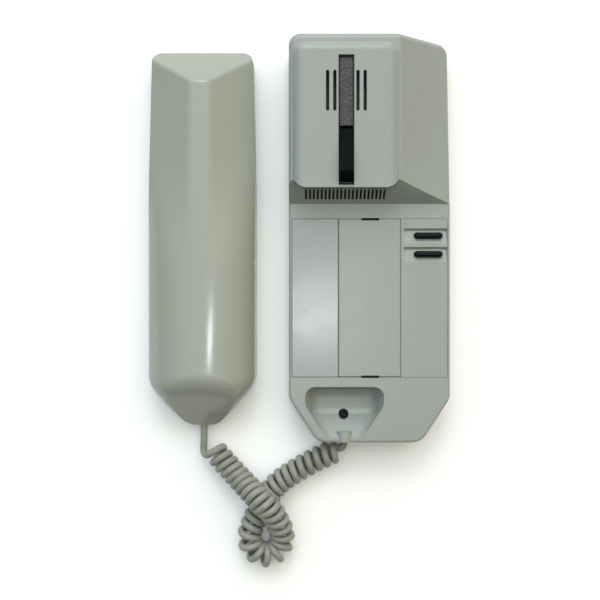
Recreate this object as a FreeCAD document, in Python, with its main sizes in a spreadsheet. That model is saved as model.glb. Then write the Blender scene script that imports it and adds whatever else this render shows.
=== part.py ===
"""Audio door phone: a wall base with its handset lifted off and laid beside it, joined by a curly cord.

The frame: the origin is the middle of the wall screw pattern on the back of the wall plate, +X is to the
right of the base, +Y is up the wall, and +Z is out of the wall. Millimetres.
"""
import FreeCAD, Part
import math
import os
import Sketcher
from FreeCAD import Placement, Rotation, Vector

doc = FreeCAD.newDocument("door_phone")
dims = doc.addObject("Spreadsheet::Sheet", "dims")

DRIVING = {
    # the base
    "base_width": 84, "base_height": 210, "front_level": 22, "wall": 2, "foot_level": 0.8,
    "base_corner": 6, "taper_width": 15, "taper_height": 23, "taper_corner": 9,
    # the raised block at the top of the base and the pad that the earpiece rests on
    "ledge_level": 34.5, "side_slope_x": 14.6, "side_slope_low": 22, "side_slope_high": 12.9,
    "brow_y": 30.3, "brow_foot_y": 19.5, "block_round": 3.2,
    "rest_axis": -13, "pad_level": 38.5, "pad_width": 53.8, "pad_low_y": 26, "pad_high_y": 100.4,
    "pad_round": 5.2, "pad_corner": 6.2, "pad_low_corner": 7,
    # slots and grilles
    "voice_slot_width": 1.7, "voice_slot_length": 20.5, "voice_slot_y": 74.5,
    "voice_slot_near": 5.8, "voice_slot_far": 9.4,
    "grille_slot_width": 1.1, "grille_pitch": 2.01, "grille_count": 21,
    "grille_low_y": 21.6,
    # the window for the three front strips
    "window_half": 40.6, "window_top": 11.8, "window_bottom": -70.9, "cover_half": 16.2,
    "strip_gap": 0.15, "strip_flange": 1.3, "latch_width": 9.6, "latch_height": 1.2,
    # the cup for the mouthpiece
    "cup_half": 20.6, "cup_top": -75.9, "cup_shoulder": -85.5, "cup_foot_half": 9.5, "cup_foot": -102.4,
    "cup_depth": 12, "cup_taper": 19, "cup_screw_y": -91.4,
    # the hook lever and its frame
    "hook_frame_width": 7.8, "hook_frame_low": 27.2, "hook_frame_high": 92.4,
    "hook_width": 6.5, "hook_frame_wall": 0.5, "hook_pivot_y": 57.5, "hook_pivot_level": 32.6, "hook_pin_radius": 1,
    "hook_tip_level": 45, "hook_switch_level": 19.5,
    # the two buttons
    "button_x": 30.6, "button_length": 14.7, "button_width": 3.1, "button_level": 24.2,
    "button_high_y": 3, "button_pitch": 9.7, "ramp_depth": 1.8, "ramp_length": 7.8, "ramp_left_x": 17.9,
    # inside the base
    "plate_thick": 2.4, "board_level": 8, "board_thick": 1.6, "wall_screw_pitch": 83.5,
    "wall_screw_radius": 2.25, "entry_half_x": 13, "entry_low_y": -28, "entry_high_y": 8,
    # the handset
    "handset_x": -88, "handset_low": -97, "handset_high": 100.7, "seam_level": 8,
    "handset_half": 27.9, "handset_top_half": 26.6, "handset_end_half": 7.5, "handset_wall": 2.2,
    "ear_y": 74.5, "ear_radius": 22.5, "mouth_y": -83, "cord_exit_level": 6,
    # the cord
    "cord_radius": 1.85, "coil_radius": 6.8, "outlet_level": 6.8,
}
for row, (alias, size) in enumerate(DRIVING.items(), start=1):
    dims.set(f"A{row}", alias)
    dims.set(f"B{row}", str(size))
    dims.setAlias(f"B{row}", alias)
doc.recompute()

PIECES = []          # the finished sub-parts, in the order they are made


# ---------------------------------------------------------------- helpers

def expand(expression):
    """The expression with each alias written as a reference to the sheet."""
    words = str(expression).replace("(", " ( ").replace(")", " ) ").split()
    return " ".join("dims." + word if word in DRIVING else word for word in words)


def size_of(expression):
    return float(dims.evalExpression(expand(expression)))


def bind(thing, prop, expression):
    thing.setExpression(prop, expand(expression))


def finished(thing, label):
    thing.Label = label
    PIECES.append(thing)
    return thing


def part_body(label):
    return finished(doc.addObject("PartDesign::Body", label), label)


def sketch_on(body, name, role="XY_Plane", offset=0):
    """An empty sketch on one of the body's own planes, moved along the plane's normal by offset."""
    sketch = body.newObject("Sketcher::SketchObject", f"{body.Name}_{name}")
    plane = next(f for f in body.Origin.OriginFeatures if f.Role == role)
    sketch.AttachmentSupport = [(plane, "")]
    sketch.MapMode = "FlatFace"
    bind(sketch, "AttachmentOffset.Base.z", offset)
    return sketch


def pin_point(sketch, geometry, position, x, y):
    for kind, expression in (("DistanceX", x), ("DistanceY", y)):
        index = sketch.addConstraint(Sketcher.Constraint(kind, geometry, position, size_of(expression)))
        bind(sketch, f"Constraints[{index}]", expression)


def outline(sketch, corners):
    """A closed outline of straight lines through corners, each an (x, y) pair of expressions."""
    points = [Vector(size_of(x), size_of(y), 0) for x, y in corners]
    first = sketch.GeometryCount
    count = len(points)
    for i in range(count):
        sketch.addGeometry(Part.LineSegment(points[i], points[(i + 1) % count]), False)
    for i in range(count):
        sketch.addConstraint(Sketcher.Constraint("Coincident", first + i, 2, first + (i + 1) % count, 1))
        pin_point(sketch, first + i, 1, *corners[i])


def rectangle(sketch, left, right, low, high):
    outline(sketch, [(left, low), (right, low), (right, high), (left, high)])


def ring(sketch, x, y, radius):
    centre = Vector(size_of(x), size_of(y), 0)
    index = sketch.addGeometry(Part.Circle(centre, Vector(0, 0, 1), size_of(radius)), False)
    pin_point(sketch, index, 3, x, y)
    constraint = sketch.addConstraint(Sketcher.Constraint("Radius", index, size_of(radius)))
    bind(sketch, f"Constraints[{constraint}]", radius)


def extrude(body, kind, name, sketch, length, reverse=False, taper=0):
    feature = body.newObject(f"PartDesign::{kind}", f"{body.Name}_{name}")
    feature.Profile = sketch
    bind(feature, "Length", length)
    feature.Reversed = reverse
    if taper:
        bind(feature, "TaperAngle", taper)
    sketch.Visibility = False
    doc.recompute()
    return feature


def box(body, kind, name, left, right, low, high, bottom, top):
    """Adds or cuts an upright box."""
    sketch = sketch_on(body, name + "_sketch", offset=bottom)
    rectangle(sketch, left, right, low, high)
    # A pocket cuts against its sketch's normal, so it is turned to run upward like a pad.
    return extrude(body, kind, name, sketch, f"{top} - ( {bottom} )", reverse=kind == "Pocket")


def drum(body, kind, name, x, y, radius, bottom, top):
    """Adds or cuts an upright cylinder."""
    sketch = sketch_on(body, name + "_sketch", offset=bottom)
    ring(sketch, x, y, radius)
    return extrude(body, kind, name, sketch, f"{top} - ( {bottom} )", reverse=kind == "Pocket")


def stadium(body, kind, name, x, y, length, width, bottom, top, along="x"):
    """Adds or cuts an upright slot shape with round ends: a box and two cylinders."""
    reach = f"( {length} - ( {width} ) ) / 2"
    half = f"( {width} ) / 2"
    if along == "x":
        box(body, kind, name, f"{x} - {reach}", f"{x} + {reach}", f"{y} - {half}", f"{y} + {half}", bottom, top)
        ends = [(f"{x} - {reach}", y), (f"{x} + {reach}", y)]
    else:
        box(body, kind, name, f"{x} - {half}", f"{x} + {half}", f"{y} - {reach}", f"{y} + {reach}", bottom, top)
        ends = [(x, f"{y} - {reach}"), (x, f"{y} + {reach}")]
    for side, (end_x, end_y) in enumerate(ends):
        drum(body, kind, f"{name}_end_{side}", end_x, end_y, half, bottom, top)


def round_edges(body, name, radius, chosen):
    """Rounds the edges of the body's tip that chosen(edge, its middle) picks."""
    doc.recompute()
    base = body.Tip
    picked = []
    for index, edge in enumerate(base.Shape.Edges, start=1):
        middle = edge.valueAt((edge.FirstParameter + edge.LastParameter) / 2)
        if chosen(edge, middle):
            picked.append(f"Edge{index}")
    if not picked:
        raise RuntimeError(f"{body.Name}: no edge to round for {name}")
    feature = body.newObject("PartDesign::Fillet", f"{body.Name}_{name}")
    feature.Base = (base, picked)
    bind(feature, "Radius", radius)
    doc.recompute()
    if "Invalid" in feature.State or "Error" in feature.State or not feature.Shape.isValid():
        raise RuntimeError(f"{body.Name}: {name} could not be rounded, edges {picked}")
    return feature


def upright(edge):
    return edge.Curve.TypeId == "Part::GeomLine" and abs(edge.tangentAt(edge.FirstParameter).z) > 0.99


def near(value, expression, within=0.05):
    return abs(value - size_of(expression)) < within


def primitive(kind, name, position, **sizes):
    """A Part primitive whose sizes and place are bound to the sheet."""
    thing = doc.addObject(f"Part::{kind}", name)
    for prop, expression in sizes.items():
        bind(thing, prop, expression)
    for axis, expression in zip("xyz", position):
        bind(thing, f"Placement.Base.{axis}", expression)
    return thing


def cylinder(name, x, y, bottom, radius, height):
    return primitive("Cylinder", name, (x, y, bottom), Radius=radius, Height=height)


def block(name, left, right, low, high, bottom, top):
    return primitive("Box", name, (left, low, bottom), Length=f"{right} - ( {left} )",
                     Width=f"{high} - ( {low} )", Height=f"{top} - ( {bottom} )")


def cut(name, base, tool):
    thing = doc.addObject("Part::Cut", name)
    thing.Base, thing.Tool = base, tool
    return thing


def fuse(name, shapes):
    thing = doc.addObject("Part::MultiFuse", name)
    thing.Shapes = shapes
    return thing


def group(name, shapes):
    """Several separate solids as one sub-part."""
    thing = doc.addObject("Part::Compound", name)
    thing.Links = shapes
    return finished(thing, name)


def turned(thing, axis, angle):
    thing.Placement = Placement(thing.Placement.Base, Rotation(axis, angle))
    return thing


# ---------------------------------------------------------------- the base: front housing

BASE_OUTLINE = [("0 - base_width / 2", "base_height / 2"), ("base_width / 2", "base_height / 2"),
                ("base_width / 2", "taper_height - base_height / 2"),
                ("base_width / 2 - taper_width", "0 - base_height / 2"),
                ("taper_width - base_width / 2", "0 - base_height / 2"),
                ("0 - base_width / 2", "taper_height - base_height / 2")]

housing = part_body("front_housing")
plan = sketch_on(housing, "plan", offset="foot_level")
outline(plan, BASE_OUTLINE)
extrude(housing, "Pad", "shell", plan, "front_level - foot_level")
box(housing, "Pad", "block", "0 - base_width / 2", "base_width / 2", "brow_foot_y", "base_height / 2",
    "front_level", "ledge_level")
brow = sketch_on(housing, "brow", "YZ_Plane")
outline(brow, [("brow_foot_y", "front_level"), ("brow_y", "ledge_level"),
               ("brow_y", "ledge_level + 5"), ("brow_foot_y - 5", "ledge_level + 5"),
               ("brow_foot_y - 5", "front_level")])
brow_cut = extrude(housing, "Pocket", "brow_cut", brow, "base_width + 10")
brow_cut.Midplane = True
# The block's right side falls away, gently above the brow and more steeply towards the top: a twisted flat.
slopes = []
for name, offset, edge_level in (("low_slope", "0 - brow_foot_y", "side_slope_low"),
                                 ("high_slope", "0 - base_height / 2", "side_slope_high")):
    slope = sketch_on(housing, name, "XZ_Plane", offset)
    fall = f"( ledge_level - {edge_level} ) * ( base_width / 2 + 5 - side_slope_x )"
    outline(slope, [("side_slope_x", "ledge_level"), ("side_slope_x", "ledge_level + 5"),
                    ("base_width / 2 + 5", "ledge_level + 5"),
                    ("base_width / 2 + 5", f"ledge_level - {fall} / ( base_width / 2 - side_slope_x )")])
    slopes.append(slope)
slope_cut = housing.newObject("PartDesign::SubtractiveLoft", "front_housing_slope_cut")
slope_cut.Profile = slopes[0]
slope_cut.Sections = [slopes[1]]
slope_cut.Ruled = True
doc.recompute()
round_edges(housing, "top_corners", "base_corner",
            lambda edge, m: upright(edge) and near(m.y, "base_height / 2"))
round_edges(housing, "foot_corners", "taper_corner",
            lambda edge, m: upright(edge) and near(m.y, "0 - base_height / 2"))
round_edges(housing, "waist_corners", "taper_corner",
            lambda edge, m: upright(edge) and near(m.y, "taper_height - base_height / 2"))
round_edges(housing, "block_edge", "block_round",
            lambda edge, m: m.y > 20 and not upright(edge) and (
                (near(m.z, "ledge_level") and (m.y > 100 or m.x < -41 or near(m.x, "side_slope_x", 0.3)))
                or (near(m.y, "base_height / 2", 4) and 13 < m.z < 34.4)
                or (near(m.x, "base_width / 2", 0.3) and 12 < m.z < 23)))
round_edges(housing, "front_edge", 1.4,
            lambda edge, m: near(m.z, "front_level") and m.y < 19 and not near(m.y, "brow_foot_y"))

# Hollow from behind: the body of the base, the raised block, and the space under the cup.
# It is shallower under the low corner of the slope.
for name, depth, high_corner in (("plate_hollow", "11.6", [("base_width / 2 - wall", "base_height / 2 - wall")]),
                                 ("hollow", "front_level - 4.6", [("30", "base_height / 2 - wall"),
                                                                  ("base_width / 2 - wall", "42")])):
    hollow = sketch_on(housing, name)
    outline(hollow, [("wall - base_width / 2", "base_height / 2 - wall"), *high_corner,
                     ("base_width / 2 - wall", "taper_height - base_height / 2 + 1"),
                     ("base_width / 2 - taper_width - 1", "wall - base_height / 2"),
                     ("10.6", "wall - base_height / 2"), ("10.6", "window_bottom - 3"),
                     ("wall - base_width / 2", "window_bottom - 3")])
    extrude(housing, "Pocket", f"{name}_cut", hollow, depth, reverse=True)
block_hollow = sketch_on(housing, "block_hollow", "XZ_Plane", "wall - base_height / 2")
outline(block_hollow, [("wall - base_width / 2", "front_level - 5"), ("30", "front_level - 5"),
                       ("30", "front_level - 4"), ("side_slope_x - 0.6", "ledge_level - wall - 0.6"),
                       ("wall - base_width / 2", "ledge_level - wall - 0.6")])
extrude(housing, "Pocket", "block_hollow_cut", block_hollow, "base_height / 2 - brow_y - 2.9", reverse=True)
brow_hollow = sketch_on(housing, "brow_hollow", "YZ_Plane", "wall - base_width / 2 + 0.5")
outline(brow_hollow, [("brow_y + 3", "ledge_level - wall - 2"), ("brow_foot_y + 2.6", "front_level - 5"),
                      ("brow_y + 3", "front_level - 5")])
extrude(housing, "Pocket", "brow_hollow_cut", brow_hollow, "base_width / 2 + 13 - wall", reverse=True)
cup_back = sketch_on(housing, "cup_back")
outline(cup_back, [("rest_axis - 20.5", "cup_top + 3"), ("rest_axis + 20.5", "cup_top + 3"),
                   ("rest_axis + 20.5", "4 - base_height / 2"),
                   ("taper_width - base_width / 2 - 0.2", "4 - base_height / 2"),
                   ("rest_axis - 20.5", "taper_height - base_height / 2 - 9.4")])
extrude(housing, "Pocket", "cup_back_cut", cup_back, "front_level - cup_depth - wall", reverse=True)

# The window for the three front strips: a through opening with a ledge that the strips lie on.
box(housing, "Pocket", "window", "0 - window_half", "window_half", "window_bottom", "window_top",
    "front_level - 2.6", "front_level + 2")
box(housing, "Pocket", "window_through", "wall - base_width / 2", "base_width / 2 - wall",
    "window_bottom + 1.5", "window_top - 1.5", "front_level - 6", "front_level - 2")
for name, y in (("high_latch", "window_top - 0.3"), ("low_latch", "window_bottom + 0.3")):
    stadium(housing, "Pocket", name, 0.3, y, "latch_width", "latch_height + 0.1", "front_level - 8",
            "front_level + 1")
doc.recompute()

# The pad that the earpiece rests on: rounded at the sides and top, with a sharp lower wall.
rest = doc.addObject("PartDesign::Body", "rest_form")
box(rest, "Pad", "form", "rest_axis - pad_width / 2", "rest_axis + pad_width / 2", "pad_low_y - 12",
    "pad_high_y", "front_level + 6", "pad_level")
round_edges(rest, "high_corners", "pad_corner", lambda edge, m: upright(edge) and near(m.y, "pad_high_y"))
round_edges(rest, "rim", "pad_round",
            lambda edge, m: near(m.z, "pad_level") and not near(m.y, "pad_low_y - 12"))
rest_plan = doc.addObject("PartDesign::Body", "rest_plan")
box(rest_plan, "Pad", "plan", "rest_axis - pad_width / 2", "rest_axis + pad_width / 2", "pad_low_y",
    "pad_high_y + 5", "front_level", "pad_level + 5")
round_edges(rest_plan, "low_corners", "pad_low_corner",
            lambda edge, m: near(m.y, "pad_low_y") and upright(edge))
rest_pad = doc.addObject("Part::Common", "rest_pad")
rest_pad.Base, rest_pad.Tool = rest, rest_plan

# The cup starts as an upright block of its rim's outline, then its walls are cut to a slant.
cup = doc.addObject("PartDesign::Body", "cup_form")
cup_rim = sketch_on(cup, "rim", offset="front_level - cup_depth")
outline(cup_rim, [("rest_axis - cup_half", "cup_top"), ("rest_axis + cup_half", "cup_top"),
                  ("rest_axis + cup_half", "cup_shoulder"), ("rest_axis + cup_foot_half", "cup_foot"),
                  ("rest_axis - cup_foot_half", "cup_foot"), ("rest_axis - cup_half", "cup_shoulder")])
extrude(cup, "Pad", "cup_block", cup_rim, "cup_depth")
CUP_FLOOR_LEVEL = "front_level - cup_depth"
for name, side in (("left", "0 - 1"), ("right", "1")):
    wall = sketch_on(cup, f"{name}_wall", "XZ_Plane", 70)
    rim_x = f"rest_axis + ( {side} ) * cup_half"
    outline(wall, [(rim_x, "front_level"), (f"{rim_x} + ( {side} ) * 2", "front_level"),
                   (f"{rim_x} + ( {side} ) * 2", f"{CUP_FLOOR_LEVEL} - 1"),
                   (f"{rim_x} - ( {side} ) * 5", f"{CUP_FLOOR_LEVEL} - 1")])
    extrude(cup, "Pocket", f"{name}_wall_cut", wall, 40, reverse=True)
for name, rim_y, floor_y, out_y in (("upper", "cup_top", "cup_top - 2.6", "cup_top + 3"),
                                    ("lower", "cup_foot", "cup_foot + 13", "cup_foot - 3")):
    wall = sketch_on(cup, f"{name}_wall", "YZ_Plane")
    outline(wall, [(rim_y, "front_level"), (out_y, "front_level"), (out_y, f"{CUP_FLOOR_LEVEL} - 1"),
                   (floor_y, f"{CUP_FLOOR_LEVEL} - 1")])
    wall_cut = extrude(cup, "Pocket", f"{name}_wall_cut", wall, 120)
    wall_cut.Midplane = True
round_edges(cup, "slant_corners", 5.6,
            lambda edge, m: not near(m.z, "front_level") and not near(m.z, CUP_FLOOR_LEVEL))
round_edges(cup, "floor_edge", 5, lambda edge, m: near(m.z, CUP_FLOOR_LEVEL))
cup_well = cylinder("cup_well", "rest_axis", "cup_screw_y", "front_level - cup_depth - 0.8", 2.7, 20)
cup_screw_hole = cylinder("cup_screw_hole", "rest_axis", "cup_screw_y", 0, 1.5, 15)
outlet_arch = turned(cylinder("outlet_arch", "rest_axis", "cup_foot + 3.2", "front_level - 2.6", 3.9,
                              "base_height / 2 + cup_foot + 2.8"), Vector(1, 0, 0), 90)
outlet_hole = turned(cylinder("outlet_hole", "rest_axis", "cup_foot + 4", "outlet_level", 3.2, 15),
                     Vector(1, 0, 0), 90)
rest_hollow = block("rest_hollow", "rest_axis - pad_width / 2 + 3.7", "rest_axis + pad_width / 2 - 3.7",
                    "pad_low_y + 3.7", "pad_high_y - 3.7", "front_level + 4.6", "pad_level - 2.2")
hook_opening = block("hook_opening", "rest_axis - hook_frame_width / 2", "rest_axis + hook_frame_width / 2",
                     "hook_frame_low", "hook_frame_high", "ledge_level - 4.5", "pad_level + 1")

slots = doc.addObject("PartDesign::Body", "slot_forms")
grille = sketch_on(slots, "grille", offset="front_level - 6")
for i in range(int(size_of("grille_count"))):
    middle = f"rest_axis + ( {i} - ( grille_count - 1 ) / 2 ) * grille_pitch"
    rectangle(grille, f"{middle} - grille_slot_width / 2", f"{middle} + grille_slot_width / 2",
              "grille_low_y", "pad_low_y")
extrude(slots, "Pad", "grille_slots", grille, 16)
voice = doc.addObject("PartDesign::Body", "voice_slot_forms")
for index, offset in enumerate(("0 - voice_slot_far", "0 - voice_slot_near", "voice_slot_near", "voice_slot_far")):
    stadium(voice, "Pad", f"voice_{index}", f"rest_axis + {offset}", "voice_slot_y", "voice_slot_length",
            "voice_slot_width", "pad_level - 5", "pad_level + 1", along="y")

housing.Label = "front_housing_body"
PIECES.remove(housing)
front_solid = fuse("front_solid", [housing, rest_pad])
front_tools = fuse("front_tools", [cup, cup_well, cup_screw_hole, outlet_hole, rest_hollow, hook_opening,
                                   slots, voice])
finished(fuse("front_housing", [cut("front_open", front_solid, front_tools), outlet_arch]), "front_housing")


# ---------------------------------------------------------------- the base: what shows on the front

def strip(label, left, right, top):
    """A front strip lying in the window on its ledge, rounded along its front edges."""
    body = part_body(label)
    box(body, "Pad", "plate", left, right, "window_bottom + strip_gap", "window_top - strip_gap",
        "front_level - 2.6", top)
    return body


left_panel = strip("left_panel", "0 - window_half + strip_gap", "0 - cover_half - strip_gap", "front_level - 0.2")
round_edges(left_panel, "rim", 0.3, lambda edge, m: near(m.z, "front_level - 0.2"))

centre_cover = strip("centre_cover", "0 - cover_half", "cover_half", "front_level + 0.4")
round_edges(centre_cover, "corners", 0.8, lambda edge, m: upright(edge))
round_edges(centre_cover, "rim", 0.7, lambda edge, m: near(m.z, "front_level + 0.4"))
for name, y in (("high_latch", "window_top - 0.4"), ("low_latch", "window_bottom + 0.4")):
    stadium(centre_cover, "Pocket", name, 0.3, y, "latch_width", "latch_height", "front_level - 3",
            "front_level + 1")

button_panel = strip("button_panel", "cover_half + strip_gap", "window_half - strip_gap", "front_level")
BUTTONS = [("door", "button_high_y"), ("light", "button_high_y - button_pitch")]
for name, y in BUTTONS:
    ramp = sketch_on(button_panel, f"{name}_ramp", "YZ_Plane", "ramp_left_x")
    ramp_high = f"{y} + ( button_pitch - ramp_length ) / 2 + 2.7"
    outline(ramp, [(ramp_high, "front_level + 1"), (ramp_high, "front_level - ramp_depth"),
                   (f"{ramp_high} - ramp_length", "front_level"), (f"{ramp_high} - ramp_length", "front_level + 1")])
    extrude(button_panel, "Pocket", f"{name}_ramp_cut", ramp, 40, reverse=True)
    stadium(button_panel, "Pocket", f"{name}_opening", "button_x", y, "button_length + 0.4", "button_width + 0.4",
            "front_level - 3", "front_level + 1")

hook_bezel = part_body("hook_bezel")
box(hook_bezel, "Pad", "frame", "rest_axis - hook_frame_width / 2", "rest_axis + hook_frame_width / 2",
    "hook_frame_low", "hook_frame_high", "hook_pivot_level - 2.1", "pad_level + 0.4")
box(hook_bezel, "Pocket", "channel", "rest_axis - hook_frame_width / 2 + hook_frame_wall",
    "rest_axis + hook_frame_width / 2 - hook_frame_wall", "hook_frame_low + hook_frame_wall",
    "hook_frame_high - 0.8",
    "hook_pivot_level - 3", "pad_level + 2")
round_edges(hook_bezel, "rim", 0.15, lambda edge, m: near(m.z, "pad_level + 0.4"))
pin_bore = sketch_on(hook_bezel, "pin_bore", "YZ_Plane", "rest_axis")
ring(pin_bore, "hook_pivot_y", "hook_pivot_level", "hook_pin_radius")
bore_cut = extrude(hook_bezel, "Pocket", "pin_bore_cut", pin_bore, 30)
bore_cut.Midplane = True

hook_slot_strip = part_body("hook_slot_strip")
box(hook_slot_strip, "Pad", "insert", "rest_axis - hook_frame_width / 2 + hook_frame_wall",
    "rest_axis + hook_frame_width / 2 - hook_frame_wall", "hook_pivot_y - 0.5", "hook_frame_high - 0.8",
    "hook_pivot_level + 3.7", "pad_level - 0.7")

finished(turned(cylinder("hook_pivot_pin", "rest_axis - hook_frame_width / 2", "hook_pivot_y", "hook_pivot_level",
                         "hook_pin_radius", "hook_frame_width"), Vector(0, 1, 0), 90), "hook_pivot_pin")

# The lever: a nose that rises towards the foot of the pad, and a knuckle on the pin.
hook_lever = part_body("hook_lever")
nose = sketch_on(hook_lever, "nose", "YZ_Plane", "rest_axis")
outline(nose, [("hook_pivot_y - 2.4", "pad_level - 0.2"), ("hook_pivot_y - 10", "hook_tip_level - 4"),
               ("hook_pivot_y - 24", "hook_tip_level"), ("hook_pivot_y - 26.4", "hook_tip_level - 1"),
               ("hook_pivot_y - 28", "hook_tip_level - 3.1"), ("hook_pivot_y - 28.7", "hook_tip_level - 5.4"),
               ("hook_pivot_y - 28.7", "pad_level - 1"),
               ("hook_pivot_y - 26.5", "pad_level - 3.5"), ("hook_pivot_y - 20", "hook_pivot_level + 0.6"),
               ("hook_pivot_y", "hook_pivot_level - 2"), ("hook_pivot_y + 0.3", "hook_pivot_level + 1.6")])
nose_pad = extrude(hook_lever, "Pad", "nose_pad", nose, "hook_width")
nose_pad.Midplane = True
round_edges(hook_lever, "nose_edges", 1,
            lambda edge, m: abs(m.x - size_of("rest_axis")) < 0.01 and m.z > size_of("pad_level + 3"))
knuckle = sketch_on(hook_lever, "knuckle", "YZ_Plane", "rest_axis")
ring(knuckle, "hook_pivot_y", "hook_pivot_level", 2)
knuckle_pad = extrude(hook_lever, "Pad", "knuckle_pad", knuckle, "hook_width")
knuckle_pad.Midplane = True
lever_bore = sketch_on(hook_lever, "lever_bore", "YZ_Plane", "rest_axis")
ring(lever_bore, "hook_pivot_y", "hook_pivot_level", "hook_pin_radius + 0.05")
lever_bore_cut = extrude(hook_lever, "Pocket", "lever_bore_cut", lever_bore, 30)
lever_bore_cut.Midplane = True

for name, y in BUTTONS:
    cap = part_body(f"{name}_button_cap")
    stadium(cap, "Pad", "pill", "button_x", y, "button_length", "button_width", "front_level - 4.4", "button_level")
    round_edges(cap, "pill_edge", 1.3, lambda edge, m: near(m.z, "button_level"))
    stadium(cap, "Pad", "flange", "button_x", y, "button_length + 1.8", "button_width + 1.8",
            "front_level - 4.4", "front_level - 2.8")


# ---------------------------------------------------------------- the base: wall plate and inside pieces

wall_plate = part_body("wall_plate")
inset = "( wall + 0.1 )"
back = sketch_on(wall_plate, "back")
outline(back, [(f"{inset} - base_width / 2", f"base_height / 2 - {inset}"),
               (f"base_width / 2 - {inset}", f"base_height / 2 - {inset}"),
               (f"base_width / 2 - {inset}", "taper_height - base_height / 2 + 1"),
               ("base_width / 2 - taper_width - 1.3", f"{inset} - base_height / 2"),
               ("10.7", f"{inset} - base_height / 2"), ("10.7", "window_bottom - 2.9"),
               (f"{inset} - base_width / 2", "window_bottom - 2.9")])
extrude(wall_plate, "Pad", "plate", back, "plate_thick")
tongue = sketch_on(wall_plate, "tongue")
outline(tongue, [("rest_axis - 20", "window_bottom"), ("rest_axis + 20", "window_bottom"),
                 ("rest_axis + 20", "4.4 - base_height / 2"),
                 ("taper_width - base_width / 2", "4.4 - base_height / 2"),
                 ("rest_axis - 20", "taper_height - base_height / 2 - 9.4")])
extrude(wall_plate, "Pad", "foot_tongue", tongue, "plate_thick")
for index, y in enumerate(("wall_screw_pitch / 2", "0 - wall_screw_pitch / 2")):
    drum(wall_plate, "Pocket", f"screw_{index}", 0, y, "wall_screw_radius", "0 - 1", "plate_thick + 1")
box(wall_plate, "Pocket", "cable_entry", "0 - entry_half_x", "entry_half_x", "entry_low_y", "entry_high_y",
    "0 - 1", "plate_thick + 1")
POSTS = [(-30, -50), (33, -50), (-30, 66), (33, 66)]
for index, (x, y) in enumerate(POSTS):
    drum(wall_plate, "Pad", f"post_{index}", x, y, 3, 1, "board_level")
drum(wall_plate, "Pad", "screw_post", "rest_axis", "cup_screw_y", 4, 1, "front_level - cup_depth - wall")
for index, (x, y) in enumerate(POSTS):
    drum(wall_plate, "Pocket", f"post_bore_{index}", x, y, 1.2, 1, "board_level + 1")
drum(wall_plate, "Pocket", "screw_post_bore", "rest_axis", "cup_screw_y", 1.5, 2, 12)

circuit_board = part_body("circuit_board")
box(circuit_board, "Pad", "board", -35, 38, -55, 71, "board_level", "board_level + board_thick")
for index, (x, y) in enumerate(POSTS):
    drum(circuit_board, "Pocket", f"hole_{index}", x, y, 1.2, "board_level - 1", "board_level + 3")

BOARD_TOP = "board_level + board_thick"


def headed(name, x, y, seat, head, shank, depth):
    """A screw whose head stands on the level seat and whose shank goes depth below it."""
    return fuse(name, [cylinder(f"{name}_head", x, y, seat, head, 1.2),
                       cylinder(f"{name}_shank", x, y, f"{seat} - ( {depth} )", shank, f"{depth} + 0.4")])


group("board_screws", [headed(f"board_screw_{index}", x, y, BOARD_TOP, 2.4, 1.2, 7)
                       for index, (x, y) in enumerate(POSTS)])
finished(headed("cover_screw", "rest_axis", "cup_screw_y", "front_level - cup_depth - 0.8", 2.6, 1.5, 6),
         "cover_screw")

terminal_block = cut("terminal_block", block("terminal_form", -18, 10, -24, -15, BOARD_TOP, f"{BOARD_TOP} + 7.6"),
                     fuse("terminal_holes", [cylinder(f"terminal_hole_{i}", -14.5 + 7 * i, -19.5,
                                                      f"{BOARD_TOP} + 3", 1.8, 6) for i in range(4)]))
finished(terminal_block, "terminal_block")
group("terminal_screws", [cylinder(f"terminal_screw_{i}", -14.5 + 7 * i, -19.5, f"{BOARD_TOP} + 3", 1.8, 3.6)
                          for i in range(4)])
group("capacitors", [cylinder(f"capacitor_{i}", x, y, BOARD_TOP, radius, height)
                     for i, (x, y, radius, height) in enumerate(((-26, 8, 4, 7), (-26, -6, 4, 7), (14, 24, 3, 6)))])
finished(block("relay", -30, -14, -46, -34, BOARD_TOP, f"{BOARD_TOP} + 7"), "relay")
finished(block("cord_socket", 14, 26, -48, -38, BOARD_TOP, f"{BOARD_TOP} + 7"), "cord_socket")

for name, y in BUTTONS:
    top = f"{BOARD_TOP} + 4.4"
    finished(cut(f"{name}_switch_body", block(f"{name}_switch_form", "button_x - 3", "button_x + 3", f"{y} - 3",
                                              f"{y} + 3", BOARD_TOP, top),
                 cylinder(f"{name}_switch_bore", "button_x", y, f"{BOARD_TOP} + 0.6", 1.25, 6)),
             f"{name}_switch_body")
    finished(cylinder(f"{name}_switch_stem", "button_x", y, f"{BOARD_TOP} + 2.6", 1.2,
                      f"front_level - 4.4 - ( {BOARD_TOP} ) - 2.6"), f"{name}_switch_stem")

# The hook switch: a housing on the board, and a plunger with a collar that the lever pushes down.
PLUNGER_Y = "hook_pivot_y - 19"
finished(cut("hook_switch", block("hook_switch_form", "rest_axis - 6", "rest_axis + 6", f"{PLUNGER_Y} - 5",
                                  f"{PLUNGER_Y} + 5", BOARD_TOP, "hook_switch_level"),
             cylinder("hook_switch_bore", "rest_axis", PLUNGER_Y, f"{BOARD_TOP} + 0.6", 1.55, 20)), "hook_switch")
finished(fuse("hook_switch_plunger",
              [cylinder("plunger_rod", "rest_axis", PLUNGER_Y, f"{BOARD_TOP} + 4", 1.5,
                        f"hook_pivot_level + 0.2 - ( {BOARD_TOP} ) - 4"),
               cylinder("plunger_collar", "rest_axis", PLUNGER_Y, "hook_switch_level + 9", 3, 1.2)]),
         "hook_switch_plunger")
spring_coil = doc.addObject("Part::Helix", "spring_path")
bind(spring_coil, "Radius", 2.3)
spring_coil.Pitch = 1.68
spring_coil.Height = 8.4
bind(spring_coil, "Placement.Base.x", "rest_axis")
bind(spring_coil, "Placement.Base.y", PLUNGER_Y)
bind(spring_coil, "Placement.Base.z", "hook_switch_level + 0.3")
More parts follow.
